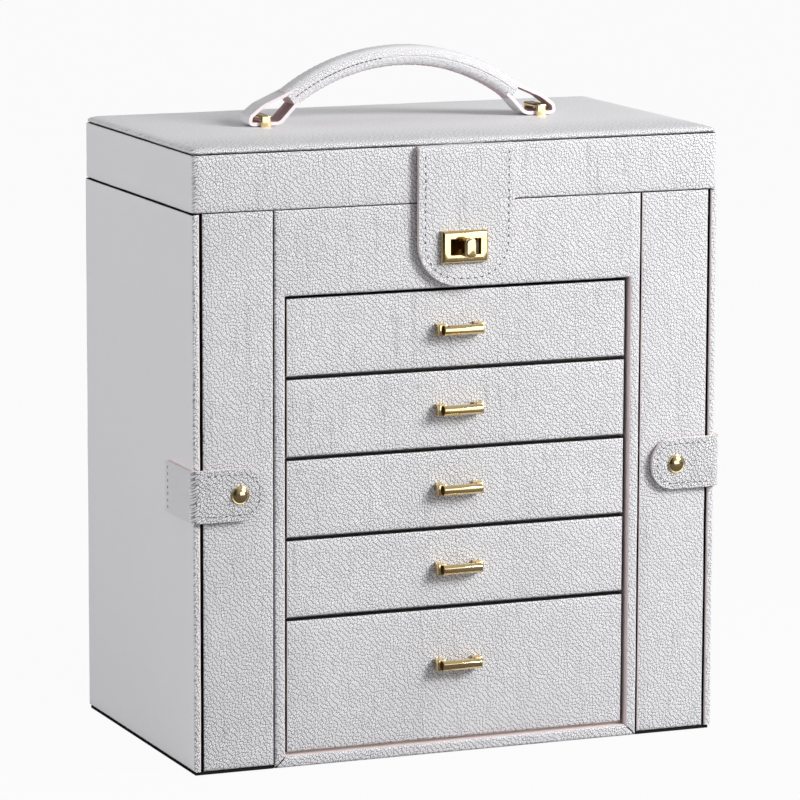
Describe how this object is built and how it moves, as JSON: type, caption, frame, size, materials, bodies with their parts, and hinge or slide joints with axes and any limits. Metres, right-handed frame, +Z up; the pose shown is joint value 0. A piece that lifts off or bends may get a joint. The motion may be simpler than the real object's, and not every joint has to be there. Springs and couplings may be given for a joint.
{
  "type": "jewellery box with drawers",
  "caption": "Leather-covered jewellery box: hinged lid with mirror and carrying handle, turn lock on a flap, pull-out drawers, and a strapped door over a hanging space on each side.",
  "frame": {"origin": "centre of the bottom face that the box rests on", "axes": "+Z up, the drawers face -Y, +X to the right when facing the drawers"},
  "size_m": [0.2944, 0.183, 0.3592],
  "materials": {
    "white_leatherette": "fine pebble grain, satin",
    "velvet_lining": "short soft pile",
    "black_backing": "matt felted paper",
    "gold_metal": "polished pale gold plate",
    "mirror_glass": "silvered glass"
  },
  "bodies": {
    "box_body": {"base_board": "black_backing", "floor_board": "velvet_lining", "back_panel": "white_leatherette", "partitions": "velvet_lining", "front_frame": "white_leatherette", "left_front_strip": "white_leatherette", "right_front_strip": "white_leatherette", "drawer_shelves": "velvet_lining", "tray_floor": "velvet_lining", "side_caps": "velvet_lining", "tray_dividers": "velvet_lining", "ring_cushions": "velvet_lining", "lock_base": "gold_metal", "snap_studs": "gold_metal", "lid_hinge_case_leaves": "gold_metal", "door_hinge_case_leaves": "gold_metal", "hinge_pins": "gold_metal"},
    "lid": {"lid_frame": "white_leatherette", "lid_top_board": "white_leatherette", "lid_cushion": "white_leatherette", "lid_mirror": "mirror_glass", "mirror_surround": "velvet_lining", "handle_brackets": "gold_metal", "lid_hinge_leaves": "gold_metal", "flap_anchor": "white_leatherette"},
    "handle": {"handle_grip": "white_leatherette", "handle_loops": "white_leatherette"},
    "flap": {"lock_flap": "white_leatherette", "lock_plate": "gold_metal"},
    "knob": {"lock_knob": "gold_metal"},
    "left_side_door": {"left_door": "white_leatherette", "left_hook_rail": "white_leatherette", "left_pocket": "velvet_lining", "left_strap_anchor": "white_leatherette", "left_door_hinge_leaves": "gold_metal"},
    "left_door_strap": {"left_strap": "white_leatherette", "left_snap_cap": "gold_metal"},
    "right_side_door": {"right_door": "white_leatherette", "right_hook_rail": "white_leatherette", "right_pocket": "velvet_lining", "right_strap_anchor": "white_leatherette", "right_door_hinge_leaves": "gold_metal"},
    "right_door_strap": {"right_strap": "white_leatherette", "right_snap_cap": "gold_metal"},
    "drawer_1": {"drawer_1_front": "white_leatherette", "drawer_1_tray": "velvet_lining", "drawer_1_pull": "gold_metal"},
    "drawer_2": {"drawer_2_front": "white_leatherette", "drawer_2_tray": "velvet_lining", "drawer_2_pull": "gold_metal"},
    "drawer_3": {"drawer_3_front": "white_leatherette", "drawer_3_tray": "velvet_lining", "drawer_3_pull": "gold_metal"},
    "drawer_4": {"drawer_4_front": "white_leatherette", "drawer_4_tray": "velvet_lining", "drawer_4_pull": "gold_metal"},
    "drawer_5": {"drawer_5_front": "white_leatherette", "drawer_5_tray": "velvet_lining", "drawer_5_pull": "gold_metal"}
  },
  "joints": [
    {"name": "lid_open", "type": "hinge", "parent": "box_body", "child": "lid", "pos_m": [0, 0.0842, 0.287], "axis": [-1, 0, 0], "range_deg": [0, 95]},
    {"name": "flap_lift", "type": "hinge", "parent": "lid", "child": "flap", "pos_m": [0, -0.0864, 0.316], "axis": [-1, 0, 0], "range_deg": [0, 90]},
    {"name": "knob_turn", "type": "hinge", "parent": "box_body", "child": "knob", "pos_m": [0, -0.0825, 0.2645], "axis": [0, 1, 0], "range_deg": [0, 90]},
    {"name": "handle_lift", "type": "slide", "parent": "lid", "child": "handle", "axis": [0, 0, 1], "range_m": [0, 0.0012]},
    {"name": "left_door_open", "type": "hinge", "parent": "box_body", "child": "left_side_door", "pos_m": [-0.1406, 0.0842, 0], "axis": [0, 0, -1], "range_deg": [0, 110]},
    {"name": "left_strap_open", "type": "hinge", "parent": "left_side_door", "child": "left_door_strap", "pos_m": [-0.1472, -0.0861, 0.144], "axis": [0, 0, -1], "range_deg": [0, 90]},
    {"name": "right_door_open", "type": "hinge", "parent": "box_body", "child": "right_side_door", "pos_m": [0.1406, 0.0842, 0], "axis": [0, 0, 1], "range_deg": [0, 110]},
    {"name": "right_strap_open", "type": "hinge", "parent": "right_side_door", "child": "right_door_strap", "pos_m": [0.1472, -0.0861, 0.144], "axis": [0, 0, 1], "range_deg": [0, 90]},
    {"name": "drawer_1_slide", "type": "slide", "parent": "box_body", "child": "drawer_1", "axis": [0, -1, 0], "range_m": [0, 0.11]},
    {"name": "drawer_2_slide", "type": "slide", "parent": "box_body", "child": "drawer_2", "axis": [0, -1, 0], "range_m": [0, 0.11]},
    {"name": "drawer_3_slide", "type": "slide", "parent": "box_body", "child": "drawer_3", "axis": [0, -1, 0], "range_m": [0, 0.11]},
    {"name": "drawer_4_slide", "type": "slide", "parent": "box_body", "child": "drawer_4", "axis": [0, -1, 0], "range_m": [0, 0.11]},
    {"name": "drawer_5_slide", "type": "slide", "parent": "box_body", "child": "drawer_5", "axis": [0, -1, 0], "range_m": [0, 0.11]}
  ]
}
